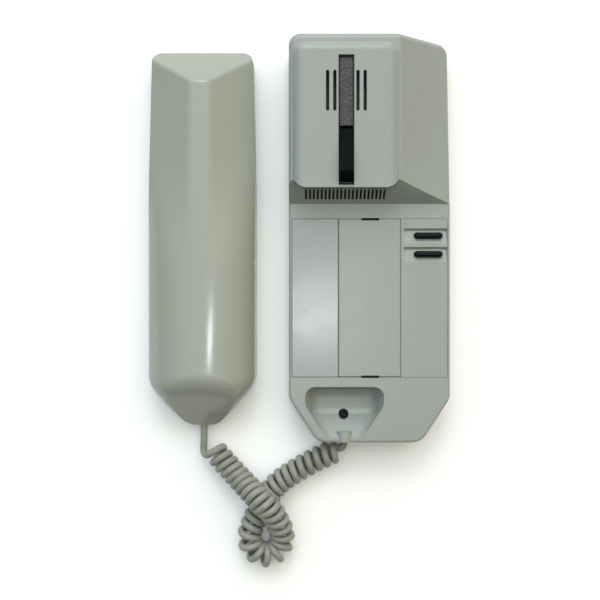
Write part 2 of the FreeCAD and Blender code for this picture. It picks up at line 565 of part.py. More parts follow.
doc.recompute()
spring_start = spring_coil.Shape.Edges[0].valueAt(spring_coil.Shape.Edges[0].FirstParameter)
spring_section = Part.Wire([Part.makeCircle(0.28, spring_start, Vector(0, 1, 0.116))])
hook_spring = doc.addObject("Part::Feature", "hook_spring")
hook_spring.Shape = Part.Wire(spring_coil.Shape.Edges).makePipeShell([spring_section], True, True)
finished(hook_spring, "hook_spring")

# The ringer under the pad's slots, held by a gasket that is notched for the lever's channel.
RINGER_TOP = "hook_pivot_level - 3.4"
finished(fuse("ringer_speaker", [cylinder("ringer_cone", "rest_axis", "voice_slot_y", f"{RINGER_TOP} - 3.2", 18, 3.2),
                                 cylinder("ringer_magnet", "rest_axis", "voice_slot_y", BOARD_TOP, 9,
                                          f"{RINGER_TOP} - 3.2 - ( {BOARD_TOP} )")]), "ringer_speaker")
gasket_ring = cut("gasket_ring", cylinder("gasket_outer", "rest_axis", "voice_slot_y", RINGER_TOP, 19,
                                          f"pad_level - 2.2 - ( {RINGER_TOP} )"),
                  cylinder("gasket_inner", "rest_axis", "voice_slot_y", f"{RINGER_TOP} - 1", 17, 20))
finished(cut("ringer_gasket", gasket_ring,
             block("gasket_notch", "rest_axis - hook_frame_width / 2 - 0.1", "rest_axis + hook_frame_width / 2 + 0.1",
                   "voice_slot_y - 30", "voice_slot_y + 30", "hook_pivot_level - 2.2", "pad_level")),
         "ringer_gasket")

finished(cut("base_cord_grommet",
             turned(cylinder("base_grommet_outer", "rest_axis", "cup_foot + 1.6", "outlet_level", 3.2, 5),
                    Vector(1, 0, 0), 90),
             turned(cylinder("base_grommet_bore", "rest_axis", "cup_foot + 2", "outlet_level", "cord_radius", 9),
                    Vector(1, 0, 0), 90)), "base_cord_grommet")


# ---------------------------------------------------------------- the handset

def between(value, low, high):
    """0 below low, 1 above high, and a smooth rise between them."""
    t = min(1.0, max(0.0, (value - low) / (high - low)))
    return t * t * (3 - 2 * t)


LOW, HIGH = size_of("handset_low"), size_of("handset_high")
HALF, TOP_HALF, END_HALF = size_of("handset_half"), size_of("handset_top_half"), size_of("handset_end_half")
SEAM = size_of("seam_level")
AXIS = size_of("handset_x")
SHOULDER = -75.0     # where the lower end starts to narrow
RIDGE_END = 82.0     # where the ridge turns down to the top end
CORNER = 5.0


def blended_least(first, second, reach):
    """The smaller of two sizes, with a smooth bend where they differ by less than reach."""
    overlap = max(0.0, 1 - abs(first - second) / reach)
    return min(first, second) - reach * overlap ** 2 / 4


def half_width(y):
    """Half the handset's width: the lower end narrows below its shoulder and the top corners are rounded."""
    narrowing = END_HALF + (HALF - END_HALF) * (y - LOW) / (SHOULDER - LOW)
    side = HALF + (TOP_HALF - HALF) * max(0.0, y - 30) / 66
    past = max(0.0, y - (HIGH - CORNER))
    return blended_least(side, narrowing, 5) - CORNER + math.sqrt(max(0.0, CORNER ** 2 - past ** 2))


def spine(y):
    """The height of the back along the middle, before its ends are cut: it sinks evenly towards the earpiece."""
    return 33.6 - 4.9 * min(1.0, max(0.0, (y - SHOULDER) / (RIDGE_END - SHOULDER)))


def crown(y):
    """The height of the back along the middle."""
    top_end = 28.7 - 17.2 * (y - RIDGE_END) / (HIGH - RIDGE_END)
    low_end = 32.6 - 23 * (SHOULDER - y) / (SHOULDER - LOW)
    return min(spine(y), top_end, low_end)


def back_level(x, y):
    """The height of the handset's back: an arch lower down that turns into a ridge with flat flanks."""
    u = min(1.0, abs(x) / half_width(y))
    shoulder = 17 - 1.5 * between(y, 20, 90)
    level = spine(y)
    arch = shoulder + (level - shoulder) * (1 - u ** 2.3) ** 0.72
    flank = shoulder + (level - shoulder) * min(1.0, (1 - u) / (1 - 5.0 / TOP_HALF))
    ridge = between(y, -12, 50)
    return min(arch + (flank - arch) * ridge, crown(y))


def back_section(y, inset):
    """One cross-section of the handset's upper shell, drawn inside its surface by inset."""
    inside = min(max(y, LOW + 0.001), HIGH - 0.001)
    w = half_width(inside)
    xs = [w * math.sin(math.pi / 2 * i / 9) for i in range(-9, 10)]
    tops = [Vector(AXIS + x * (w - inset) / w, y, max(SEAM + 0.6, back_level(x, inside) - inset * 1.15)) for x in xs]
    foot = SEAM - (2 if inset else 0)
    curve = Part.BSplineCurve()
    curve.interpolate(tops)
    left, right = Vector(tops[0].x, y, foot), Vector(tops[-1].x, y, foot)
    return Part.Wire([Part.makeLine(left, tops[0]), curve.toShape(), Part.makeLine(tops[-1], right),
                      Part.makeLine(right, left)])


STATIONS = [LOW, -91, -85, -80.4, -77.6, SHOULDER, -72.4, -69.6, -50, -28, -6, 14, 34, 54, 70, RIDGE_END,
            88, 95.7, 98.6, 100.1, HIGH]
back_solid = Part.makeLoft([back_section(y, 0) for y in STATIONS], True, True)
shrunk = [y + size_of("handset_wall") * (1 - 2 * (y - LOW) / (HIGH - LOW)) for y in STATIONS]
back_hollow = Part.makeLoft([back_section(y, size_of("handset_wall")) for y in shrunk], True, True)
shell_form = doc.addObject("Part::Feature", "shell_form")
shell_form.Shape = back_solid.cut(back_hollow)

SCREWS = [28, -60]
shell_posts = [cylinder(f"shell_post_{i}", "handset_x", y, "seam_level", 3.4, 23.3) for i, y in enumerate(SCREWS)]
shell_bores = [cylinder(f"shell_bore_{i}", "handset_x", y, "seam_level - 1", 1.3, 13)
               for i, y in enumerate(SCREWS)]
cord_bore = turned(cylinder("handset_cord_bore", "handset_x", "handset_low + 4", "cord_exit_level", 3.2, 10),
                   Vector(1, 0, 0), 90)
finished(cut("handset_shell", fuse("shell_solid", [shell_form] + shell_posts),
             fuse("shell_tools", shell_bores + [cord_bore])), "handset_shell")

cover = doc.addObject("PartDesign::Body", "cover_form")
COVER_LEVEL = "seam_level - 3.4"
cover_plan = sketch_on(cover, "plan", offset=COVER_LEVEL)
outline(cover_plan, [("handset_x - handset_end_half", "handset_low"), ("handset_x + handset_end_half", "handset_low"),
                     ("handset_x + handset_half", "0 - 75"), ("handset_x + handset_half", 30),
                     ("handset_x + handset_top_half", "handset_high"),
                     ("handset_x - handset_top_half", "handset_high"),
                     ("handset_x - handset_half", 30), ("handset_x - handset_half", "0 - 75")])
extrude(cover, "Pad", "plate", cover_plan, "3.4")
round_edges(cover, "top_corners", 5, lambda edge, m: upright(edge) and m.y > 90)
round_edges(cover, "shoulder_corners", 16, lambda edge, m: upright(edge) and near(m.y, -75))
round_edges(cover, "foot_corners", 3, lambda edge, m: upright(edge) and near(m.y, "handset_low"))
round_edges(cover, "low_edge", 1.6, lambda edge, m: near(m.z, COVER_LEVEL))
drum(cover, "Pad", "ear_pod", "handset_x", "ear_y", "ear_radius", 0, "seam_level")
mouth = sketch_on(cover, "mouth")
MOUTH = [("handset_x - 19", "mouth_y + 10.5"), ("handset_x + 19", "mouth_y + 10.5"), ("handset_x + 19", "mouth_y + 3"),
         ("handset_x + 8", "mouth_y - 10.8"), ("handset_x - 8", "mouth_y - 10.8"), ("handset_x - 19", "mouth_y + 3")]
outline(mouth, MOUTH)
extrude(cover, "Pad", "mouth_boss", mouth, "seam_level")
round_edges(cover, "pod_edge", 1.6, lambda edge, m: near(m.z, 0))
drum(cover, "Pocket", "ear_hollow", "handset_x", "ear_y", "ear_radius - 2", 1.6, "seam_level + 1")
mouth_hollow = sketch_on(cover, "mouth_hollow", offset=1.6)
outline(mouth_hollow, [("handset_x - 17", "mouth_y + 8.5"), ("handset_x + 17", "mouth_y + 8.5"),
                       ("handset_x + 17", "mouth_y + 3.6"), ("handset_x + 7", "mouth_y - 6.6"),
                       ("handset_x - 7", "mouth_y - 6.6"), ("handset_x - 17", "mouth_y + 3.6")])
extrude(cover, "Pocket", "mouth_hollow_cut", mouth_hollow, 9, reverse=True)
box(cover, "Pocket", "hook_pocket", "handset_x - 4.6", "handset_x + 4.6", 31.5, 51, "0 - 1", "seam_level + 1")
sound = sketch_on(cover, "sound_holes", offset="0 - 1")
for i in range(-2, 3):
    ring(sound, f"handset_x + {i} * 4", "ear_y", 0.9)
    if i:
        ring(sound, "handset_x", f"ear_y + {i} * 4", 0.9)
for i in (-1, 0, 1):
    ring(sound, f"handset_x + {i} * 4", "mouth_y", 0.7)
extrude(cover, "Pocket", "sound_cut", sound, 3, reverse=True)
cover_bores = [cylinder(f"cover_bore_{i}", "handset_x", y, 0, 1.3, 12) for i, y in enumerate(SCREWS)]
cover_seats = [cylinder(f"cover_seat_{i}", "handset_x", y, f"{COVER_LEVEL} - 1", 2.7, 2.2)
               for i, y in enumerate(SCREWS)]
finished(cut("handset_inner_cover", cover, fuse("cover_tools", cover_bores + cover_seats + [cord_bore])),
         "handset_inner_cover")
group("handset_screws", [fuse(f"handset_screw_{i}", [
    cylinder(f"handset_screw_head_{i}", "handset_x", y, COVER_LEVEL, 2.6, 1.2),
    cylinder(f"handset_screw_shank_{i}", "handset_x", y, f"{COVER_LEVEL} + 0.6", 1.3, 11)])
    for i, y in enumerate(SCREWS)])

finished(cut("receiver_gasket", cylinder("receiver_gasket_outer", "handset_x", "ear_y", 1.6, 18, 1),
             cylinder("receiver_gasket_inner", "handset_x", "ear_y", 1, 14, 3)), "receiver_gasket")
finished(cylinder("receiver_capsule", "handset_x", "ear_y", 2.6, 18, 9), "receiver_capsule")
finished(cut("microphone_boot", cylinder("boot_outer", "handset_x", "mouth_y", 1.6, 6, 5),
             cylinder("boot_inner", "handset_x", "mouth_y", 2.6, 4.5, 6)), "microphone_boot")
finished(cylinder("microphone_capsule", "handset_x", "mouth_y", 2.6, 4.5, 5), "microphone_capsule")
finished(block("ballast_weight", "handset_x - 10", "handset_x + 10", -44, 16, "seam_level", "seam_level + 8"),
         "ballast_weight")
finished(cut("handset_cord_grommet",
             turned(cylinder("handset_grommet_outer", "handset_x", "handset_low + 3.4", "cord_exit_level", 3.2, 4.2),
                    Vector(1, 0, 0), 90),
             turned(cylinder("handset_grommet_bore", "handset_x", "handset_low + 6", "cord_exit_level",
                             "cord_radius", 12), Vector(1, 0, 0), 90)), "handset_cord_grommet")


# ---------------------------------------------------------------- the cord

# The cord's middle line. Each point is a corner of the route, which is drawn as straight runs and arcs.
HANDSET_LEAD = [(-88.0, -94.5, 6.0), (-88.0, -112.5, 6.0), (-83.0, -117.76, 6.37)]
COIL = [(-79.7, -114.6, 6.8), (-70.2, -124.6, 7.5), (-63.0, -130.6, 14.5), (-57.6, -135.0, 21.2),
        (-52.6, -139.6, 21.2), (-48.8, -146.0, 14.8), (-44.8, -157.2, 7.2), (-48.0, -163.9, 6.8),
        (-55.0, -166.3, 6.8), (-61.7, -163.0, 6.8), (-64.0, -156.0, 6.8), (-52.6, -133.6, 6.8),
        (-44.0, -126.2, 6.8), (-24.5, -114.2, 6.8), (-18.0, -111.6, 6.8)]
BASE_LEAD = [(-18.0, -111.6, 6.8), (-13.0, -109.6, 6.8), (-13.0, -102.0, 6.8)]


def rounded_route(points):
    """Straight runs joined by arcs, as large as 0.45 of the shorter run beside each corner allows."""
    points = [Vector(*p) for p in points]
    edges, start, radii = [], points[0], []
    for before, corner, after in zip(points, points[1:], points[2:]):
        incoming, outgoing = (corner - before).normalize(), (after - corner).normalize()
        half_turn = incoming.getAngle(outgoing) / 2
        reach = 0.45 * min((corner - before).Length, (after - corner).Length)
        radii.append(reach / math.tan(half_turn))
        into, out = corner - incoming * reach, corner + outgoing * reach
        middle = corner + (outgoing - incoming).normalize() * (radii[-1] / math.cos(half_turn) - radii[-1])
        edges += [Part.makeLine(start, into), Part.Arc(into, middle, out).toShape()]
        start = out
    edges.append(Part.makeLine(start, points[-1]))
    return Part.Wire(edges), radii


def tube(label, points, radius):
    path, radii = rounded_route(points)
    start = Vector(*points[0])
    section = Part.Wire([Part.makeCircle(radius, start, Vector(*points[1]) - start)])
    solid = path.makePipeShell([section], True, False)
    print(label, "bend radii", [round(r, 1) for r in radii], "length", round(path.Length, 1),
          "volume over section times length", round(solid.Volume / (math.pi * radius ** 2 * path.Length), 4))
    thing = doc.addObject("Part::Feature", label)
    thing.Shape = solid
    return finished(thing, label)


tube("cord_handset_lead", HANDSET_LEAD, size_of("cord_radius"))
tube("cord_coil", COIL, size_of("coil_radius"))
tube("cord_base_lead", BASE_LEAD, size_of("cord_radius"))


# ---------------------------------------------------------------- check and export

doc.recompute()
for thing in doc.Objects:
    if "Invalid" in thing.State or "Error" in thing.State:
        raise RuntimeError(f"{thing.Label}: {thing.State}")
os.makedirs("parts", exist_ok=True)
for piece in PIECES:
    if piece.Shape.isNull() or not piece.Shape.isValid():
        raise RuntimeError(f"{piece.Label}: not a valid solid")
    piece.Shape.exportStep(f"parts/{piece.Label}.step")
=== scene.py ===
"""The looks of the audio door phone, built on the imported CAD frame.

Metres, in the frame of the CAD model: the origin is the middle of the wall screw pattern on the back of the
wall plate, +X to the right of the base, +Y up the wall, +Z out of the wall, which is up from the table.
"""

import math

import bmesh
import bpy
import numpy as np
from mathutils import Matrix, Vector


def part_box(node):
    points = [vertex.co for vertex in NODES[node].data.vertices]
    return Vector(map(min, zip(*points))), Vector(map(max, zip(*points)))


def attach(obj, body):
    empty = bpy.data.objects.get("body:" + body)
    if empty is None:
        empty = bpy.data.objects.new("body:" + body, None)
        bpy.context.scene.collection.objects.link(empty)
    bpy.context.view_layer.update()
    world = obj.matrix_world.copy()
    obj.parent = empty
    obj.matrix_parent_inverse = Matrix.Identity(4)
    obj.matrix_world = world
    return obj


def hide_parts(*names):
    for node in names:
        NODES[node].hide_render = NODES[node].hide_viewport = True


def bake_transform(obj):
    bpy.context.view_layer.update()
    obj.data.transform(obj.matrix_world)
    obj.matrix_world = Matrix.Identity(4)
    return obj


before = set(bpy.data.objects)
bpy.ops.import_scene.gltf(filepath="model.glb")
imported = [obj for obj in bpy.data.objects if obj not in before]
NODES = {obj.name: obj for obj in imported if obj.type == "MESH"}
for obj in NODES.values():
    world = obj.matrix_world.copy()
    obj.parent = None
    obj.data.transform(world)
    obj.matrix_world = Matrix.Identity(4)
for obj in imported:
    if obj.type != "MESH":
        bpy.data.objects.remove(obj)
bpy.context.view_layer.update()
MM = 0.001


# ---------------------------------------------------------------- node helpers

class Shader:
    """A material's node tree around one Principled shader."""

    def __init__(self, name):
        self.material = bpy.data.materials.new(name)
        self.material.use_nodes = True
        self.tree = self.material.node_tree
        self.surface = self.tree.nodes["Principled BSDF"]
        self.place = self.add("ShaderNodeTexCoord").outputs["Object"]

    def add(self, kind, **settings):
        node = self.tree.nodes.new(kind)
        for key, value in settings.items():
            setattr(node, key, value)
        return node

    def wire(self, source, target):
        self.tree.links.new(source, target)

    def set(self, **values):
        for key, value in values.items():
            self.surface.inputs[key.replace("_", " ")].default_value = value

    def noise(self, scale, detail=3.0, roughness=0.5, stretch=(1, 1, 1)):
        """A noise value from 0 to 1 at scale features per metre."""
        mapping = self.add("ShaderNodeMapping")
        mapping.inputs["Scale"].default_value = stretch
        self.wire(self.place, mapping.inputs["Vector"])
        node = self.add("ShaderNodeTexNoise")
        node.inputs["Scale"].default_value = scale
        node.inputs["Detail"].default_value = detail
        node.inputs["Roughness"].default_value = roughness
        self.wire(mapping.outputs["Vector"], node.inputs["Vector"])
        return node.outputs["Fac"]

    def ramp(self, value, stops):
        """Maps a value to colours or greys: stops is a list of (position, colour)."""
        node = self.add("ShaderNodeValToRGB")
        elements = node.color_ramp.elements
        while len(elements) < len(stops):
            elements.new(0.5)
        for element, (position, colour) in zip(elements, stops):
            element.position = position
            element.color = (*colour, 1) if isinstance(colour, tuple) else (colour, colour, colour, 1)
        self.wire(value, node.inputs["Fac"])
        return node.outputs["Color"]

    def mix(self, factor, first, second, blend="MIX"):
        node = self.add("ShaderNodeMix", data_type="RGBA", blend_type=blend)
        # A Mix node has a set of sockets for each data type. For colours, inputs 0, 6 and 7 are the
        # factor and the two colours, and output 2 is the result.
        for socket, value in ((node.inputs[0], factor), (node.inputs[6], first), (node.inputs[7], second)):
            if isinstance(value, (int, float)):
                socket.default_value = value
            elif isinstance(value, tuple):
                socket.default_value = (*value, 1)
            else:
                self.wire(value, socket)
        return node.outputs[2]

    def colour(self, value):
        self.wire(value, self.surface.inputs["Base Color"])

    def roughness(self, value):
        self.wire(value, self.surface.inputs["Roughness"])

    def bump(self, height, distance, strength=1.0, under=None):
        node = self.add("ShaderNodeBump")
        node.inputs["Distance"].default_value = distance
        node.inputs["Strength"].default_value = strength
        self.wire(height, node.inputs["Height"])
        if under is not None:
            self.wire(under, node.inputs["Normal"])
        self.wire(node.outputs["Normal"], self.surface.inputs["Normal"])
        return node.outputs["Normal"]


# ---------------------------------------------------------------- materials

def moulded_plastic(name, colour, gloss=0.3, grain=0.00002, age=0.5):
    """Aged ABS: a slow drift of tone, faint smudges in the gloss, fine grain, and a few dust specks."""
    shader = Shader(name)
    aged = tuple(channel * factor for channel, factor in zip(colour, (0.95, 0.93, 0.83)))
    drift = shader.ramp(shader.noise(28, 4), [(0.3, 0.0), (0.75, age)])
    tone = shader.mix(drift, colour, aged)
    fine = shader.ramp(shader.noise(900, 2), [(0.35, 0.965), (0.65, 1.0)])
    tone = shader.mix(1.0, tone, fine, "MULTIPLY")
    specks = shader.ramp(shader.noise(1500, 1), [(0.2, 0.72), (0.245, 1.0)])
    shader.colour(shader.mix(1.0, tone, specks, "MULTIPLY"))
    shader.roughness(shader.ramp(shader.noise(60, 5, 0.65), [(0.3, gloss * 0.88), (0.75, gloss * 1.2)]))
    soft = shader.bump(shader.noise(120, 2), 0.00006, 0.35)
    shader.bump(shader.noise(2600, 2), grain, 0.5, under=soft)
    shader.set(IOR=1.5)
    return shader.material


def scaled(colour, factor):
    return tuple(channel * factor for channel in colour)


def black_plastic(name, gloss=0.3, shade=1.0, index=1.2):
    """Black moulded plastic: shade scales its tone, and index sets how strongly it mirrors the room."""
    shader = Shader(name)
    deep, worn = scaled((0.003, 0.004, 0.005), shade), scaled((0.008, 0.01, 0.012), shade)
    shader.colour(shader.ramp(shader.noise(500, 4), [(0.3, deep), (0.8, worn)]))
    shader.roughness(shader.ramp(shader.noise(300, 5, 0.7), [(0.3, gloss * 0.8), (0.8, gloss * 1.6)]))
    shader.bump(shader.noise(1800, 3), 0.00003, 0.6)
    shader.set(IOR=index)
    return shader.material


def speckled_strip(name):
    """The dark insert of the hook slot: a coarse, worn, brown-grey speckle."""
    shader = Shader(name)
    speckle = shader.noise(1100, 4, 0.7)
    shader.colour(shader.ramp(speckle, [(0.38, (0.014, 0.014, 0.016)), (0.55, (0.045, 0.042, 0.05)),
                                        (0.7, (0.12, 0.11, 0.11))]))
    shader.bump(speckle, 0.00025, 0.8)
    shader.set(Roughness=0.55)
    return shader.material


def cord_jacket(name):
    """Grey PVC: matt, with grime in patches along it and a faint extrusion ripple."""
    shader = Shader(name)
    grime = shader.ramp(shader.noise(90, 5, 0.6), [(0.35, 0.0), (0.8, 0.75)])
    tone = shader.mix(grime, (0.28, 0.285, 0.245), (0.195, 0.195, 0.16))
    fine = shader.ramp(shader.noise(1400, 3), [(0.3, 0.93), (0.7, 1.0)])
    shader.colour(shader.mix(1.0, tone, fine, "MULTIPLY"))
    shader.roughness(shader.ramp(shader.noise(200, 4), [(0.3, 0.42), (0.8, 0.62)]))
    shader.bump(shader.noise(1500, 3), 0.00004, 0.5)
    return shader.material


def metal(name, colour, roughness=0.35):
    shader = Shader(name)
    shader.colour(shader.ramp(shader.noise(700, 4), [(0.3, scaled(colour, 0.8)), (0.8, colour)]))
    shader.set(Metallic=1.0)
    shader.roughness(shader.ramp(shader.noise(1500, 4), [(0.3, roughness * 0.8), (0.8, roughness * 1.4)]))
    shader.bump(shader.noise(2500, 3, stretch=(1, 6, 1)), 0.00002, 0.4)
    return shader.material


def plain(name, colour, roughness=0.55, scale=600, depth=0.00005):
    """A matt moulded or pressed material with a fine mottle."""
    shader = Shader(name)
    shader.colour(shader.ramp(shader.noise(scale, 4), [(0.3, scaled(colour, 0.8)), (0.75, colour)]))
    shader.bump(shader.noise(scale * 2, 3), depth, 0.6)
    shader.set(Roughness=roughness)
    return shader.material


HOUSING = moulded_plastic("housing_plastic", (0.292, 0.318, 0.302), 0.34)
PANEL = moulded_plastic("panel_plastic", (0.3, 0.32, 0.318), 0.215, age=0.25)
HANDSET = moulded_plastic("handset_plastic", (0.312, 0.33, 0.287), 0.17, grain=0.000008, age=0.4)
BLACK = black_plastic("black_plastic")
# The lever is the same black plastic as the other black parts, with its tone scaled to 0.6 as painted shade
# and with a weaker reflection.
SHADED_LEVER = black_plastic("lever_black_painted_shade", gloss=0.25, shade=0.6, index=1.08)
STRIP = speckled_strip("slot_texture")
JACKET = cord_jacket("cord_jacket")
STEEL = metal("zinc_steel", (0.62, 0.62, 0.6))
IRON = metal("cast_iron", (0.22, 0.22, 0.23), roughness=0.6)
BOARD = plain("board_laminate", (0.1, 0.065, 0.03), roughness=0.5)
CONNECTOR = plain("connector_green", (0.05, 0.2, 0.09), roughness=0.45)
DARK = plain("dark_moulding", (0.03, 0.03, 0.034), roughness=0.5)
CONE = plain("paper_cone", (0.09, 0.08, 0.075), roughness=0.8, scale=900, depth=0.0002)
FOAM = plain("foam", (0.035, 0.035, 0.035), roughness=0.95, scale=1200, depth=0.0004)

FINISHES = {
    HOUSING: ("front_housing", "wall_plate", "button_panel", "centre_cover"),
    PANEL: ("left_panel",),
    HANDSET: ("handset_shell", "handset_inner_cover"),
    BLACK: ("hook_bezel", "hook_switch_plunger", "door_button_cap", "light_button_cap", "cover_screw"),
    SHADED_LEVER: ("hook_lever",),
    STRIP: ("hook_slot_strip",),
    JACKET: ("base_cord_grommet", "handset_cord_grommet", "cord_coil", "cord_base_lead",
             "cord_handset_lead"),
    STEEL: ("hook_pivot_pin", "hook_spring", "board_screws", "terminal_screws", "handset_screws",
            "microphone_capsule"),
    IRON: ("ballast_weight",),
    BOARD: ("circuit_board",),
    CONNECTOR: ("terminal_block", "cord_socket"),
    DARK: ("hook_switch", "capacitors", "relay", "door_switch_body", "light_switch_body",
           "door_switch_stem", "light_switch_stem"),
    CONE: ("ringer_speaker", "receiver_capsule"),
    FOAM: ("ringer_gasket", "receiver_gasket", "microphone_boot"),
}
for finish, names in FINISHES.items():
    for name in names:
        for slot in NODES[name].material_slots:
            slot.material = finish


# ---------------------------------------------------------------- mesh helpers

def new_object(name, data):
    """An object for a mesh, a light or a camera, linked into the scene."""
    thing = bpy.data.objects.new(name, data)
    bpy.context.scene.collection.objects.link(thing)
    return thing


def new_piece(name, mesh, finish, body=None):
    """A new object with smooth shading and one material, riding on a body if one is named."""
    piece = new_object(name, mesh)
    mesh.materials.append(finish)
    mesh.shade_smooth()
    if body:
        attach(piece, body)
    return piece


def skin(name, rows, closed=False):
    """A mesh of quads through rows of points, each row as long as the last."""
    count = len(rows[0])
    points = [point for row in rows for point in row]
    faces = []
    for i in range(len(rows) - 1):
        for j in range(count if closed else count - 1):
            k = (j + 1) % count
            faces.append((i * count + j, i * count + k, (i + 1) * count + k, (i + 1) * count + j))
    mesh = bpy.data.meshes.new(name)
    mesh.from_pydata([tuple(p) for p in points], [], faces)
    return mesh


def smooth_step(value, low, high):
    """0 below low, 1 above high, and a smooth rise between them."""
    t = np.clip((value - low) / (high - low), 0, 1)
    return t * t * (3 - 2 * t)


def soft_min(a, b, width):
    """The lower of a and b, with the corner between them rounded over width."""
    h = np.clip(0.5 + 0.5 * (b - a) / width, 0, 1)
    return b * (1 - h) + a * h - width * h * (1 - h)


# ---------------------------------------------------------------- the handset's back

BACK_LOW, BACK_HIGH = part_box("handset_shell")
AXIS_X = (BACK_LOW[0] + BACK_HIGH[0]) / 2
LOW_END, HIGH_END = BACK_LOW[1], BACK_HIGH[1]
HALF_WIDTH = (BACK_HIGH[0] - BACK_LOW[0]) / 2
TOP_HALF_WIDTH = HALF_WIDTH - 1.3 * MM
END_HALF_WIDTH = 7.8 * MM
NARROWING = -75 * MM       # where the lower end starts to narrow
TAPER_START = 30 * MM      # where the sides start to close in towards the top
TAPER_LENGTH = 66 * MM
RIDGE_END = 82 * MM        # where the ridge turns down to the top end
CROWN = 33.6 * MM          # the spine's height at its lower end
SPINE_DROP = 4.9 * MM      # how far the spine sinks by the ridge's end
TOP_DROP = 17.2 * MM       # how far the top end slopes down
LOW_CROWN = 33 * MM        # the lower end's height where it starts
LOW_DROP = 24 * MM         # how far the lower end slopes down
SHOULDER = 17 * MM         # the height of the back at its side edges
SHOULDER_DROP = 1.5 * MM   # how far those edges sink towards the top
FLAT_RIDGE = 4.6 * MM      # half the width of the ridge's flat top


def back_half_width(y):
    """Half the handset's width: its lower corners are cut off and its top corners are rounded."""
    side = HALF_WIDTH + (TOP_HALF_WIDTH - HALF_WIDTH) * max(0, y - TAPER_START) / TAPER_LENGTH
    narrowing = END_HALF_WIDTH + (HALF_WIDTH - END_HALF_WIDTH) * (y - LOW_END) / (NARROWING - LOW_END)
    side = soft_min(side, narrowing, 5 * MM)
    corner = 5.5 * MM
    past = np.clip(y - (HIGH_END - corner), 0, corner)
    side = side - corner + np.sqrt(corner ** 2 - past ** 2)
    foot = 3 * MM
    below = np.clip(LOW_END + foot - y, 0, foot)
    return side - foot + np.sqrt(foot ** 2 - below ** 2)


def back_height(u, y):
    """The back's height at u, the place across from 0 in the middle to 1 at the edge."""
    shoulder = SHOULDER - SHOULDER_DROP * smooth_step(y, 20 * MM, 90 * MM)
    spine = CROWN - SPINE_DROP * np.clip((y - NARROWING) / (RIDGE_END - NARROWING), 0, 1)
    arch = shoulder + (spine - shoulder) * (1 - u ** 2.3) ** 0.72
    flank = shoulder + (spine - shoulder) * (1 - u) / (1 - FLAT_RIDGE / TOP_HALF_WIDTH)
    flank = soft_min(flank, spine, 1.2 * MM)
    height = arch + (flank - arch) * smooth_step(y, -15 * MM, 48 * MM)
    top_end = CROWN - SPINE_DROP - TOP_DROP * (y - RIDGE_END) / (HIGH_END - RIDGE_END)
    low_end = LOW_CROWN - LOW_DROP * (NARROWING - y) / (NARROWING - LOW_END)
    return soft_min(soft_min(height, top_end, 1.2 * MM), low_end, 7 * MM)


# The side wall under the back's edge, from the rim at the table up past the seam's groove, as (how far out,
# how high) in millimetres.
SIDE_WALL = [(-0.9, 0.5), (-0.1, 0.7), (0.2, 1.3), (0.25, 4), (0.25, 7.7), (-0.25, 7.9), (-0.25, 8.1),
             (0.25, 8.3), (0.2, 9)]
WALL_TOP = 9.2 * MM        # the least height of the back above that wall
END_REACH = 0.45 * MM      # how far the skin stands out at the two ends
SECTIONS = 210             # along the handset
ACROSS = 97                # points over the back in each section


def handset_back():
    """The glossy outer shell: a fine skin in place of the CAD's coarse sections, with the seam's groove."""
    # The sections are closer together near the two ends, and their points near the two sides.
    steps = (1 - np.cos(np.linspace(0, math.pi, SECTIONS))) / 2
    u = np.sin(np.linspace(-math.pi / 2, math.pi / 2, ACROSS))
    rows = []
    for step in steps:
        y = LOW_END + (HIGH_END - LOW_END) * step
        width = max(float(back_half_width(y)), 0.4 * MM)
        reach = y + END_REACH * (2 * step - 1)
        heights = np.maximum(back_height(np.abs(u), y), WALL_TOP)
        top = [(AXIS_X + place * width, reach, height) for place, height in zip(u, heights)]
        left = [(AXIS_X - width - out * MM, reach, up * MM) for out, up in SIDE_WALL]
        right = [(AXIS_X + width + out * MM, reach, up * MM) for out, up in reversed(SIDE_WALL)]
        rows.append(left + top + right)
    mesh = skin("handset_back", rows)
    work = bmesh.new()
    work.from_mesh(mesh)
    work.verts.ensure_lookup_table()
    count = len(rows[0])
    work.faces.new(work.verts[:count])
    work.faces.new(work.verts[-count:])
    bmesh.ops.recalc_face_normals(work, faces=work.faces)
    work.to_mesh(mesh)
    work.free()
    piece = new_piece("handset_back", mesh, HANDSET, "handset")
    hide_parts("handset_shell")


handset_back()


# ---------------------------------------------------------------- the cord

CORD_DIAMETER = 3.7 * MM
COIL_RADIUS = 6.8 * MM - CORD_DIAMETER / 2      # of the helix's own line
# The corners of the cord's route: the CAD model's, nudged by a few millimetres where the wire needs it.
HANDSET_LEAD = [(-88.0, -94.5, 6.0), (-88.0, -102.0, 6.0), (-88.3, -109.5, 5.6), (-88.6, -112.6, 4.8),
                (-87.6, -113.4, 6.8)]
COIL = [(-84.0, -110.0, 6.8), (-70.2, -124.6, 9.5), (-63.0, -130.6, 15.0), (-57.6, -135.0, 19.6),
        (-52.6, -139.6, 19.6), (-48.8, -146.0, 15.5), (-44.8, -157.2, 8.5), (-48.0, -166.0, 6.8),
        (-55.2, -168.6, 6.8), (-61.9, -165.0, 6.8), (-64.6, -156.0, 6.8), (-52.6, -133.6, 6.8),
        (-44.0, -125.6, 6.8), (-24.5, -114.6, 6.8), (-14.2, -110.6, 6.8)]
BASE_LEAD = [(-14.2, -110.6, 6.8), (-12.4, -109.6, 6.8), (-12.9, -106.0, 6.8), (-13.0, -102.0, 6.8)]


def route_line(corners):
    """The smooth line of a route: points along a NURBS spline whose control points are its corners."""
    curve = bpy.data.curves.new("route", "CURVE")
    curve.dimensions = "3D"
    curve.resolution_u = 24
    spline = curve.splines.new("NURBS")
    spline.points.add(len(corners) - 1)
    for point, corner in zip(spline.points, corners):
        point.co = (*(c * MM for c in corner), 1)
    spline.order_u = 3
    spline.use_endpoint_u = True
    carrier = bpy.data.objects.new("route", curve)
    mesh = bpy.data.meshes.new_from_object(carrier)
    line = np.array([v.co for v in mesh.vertices])
    bpy.data.objects.remove(carrier)
    bpy.data.curves.remove(curve)
    bpy.data.meshes.remove(mesh)
    return line


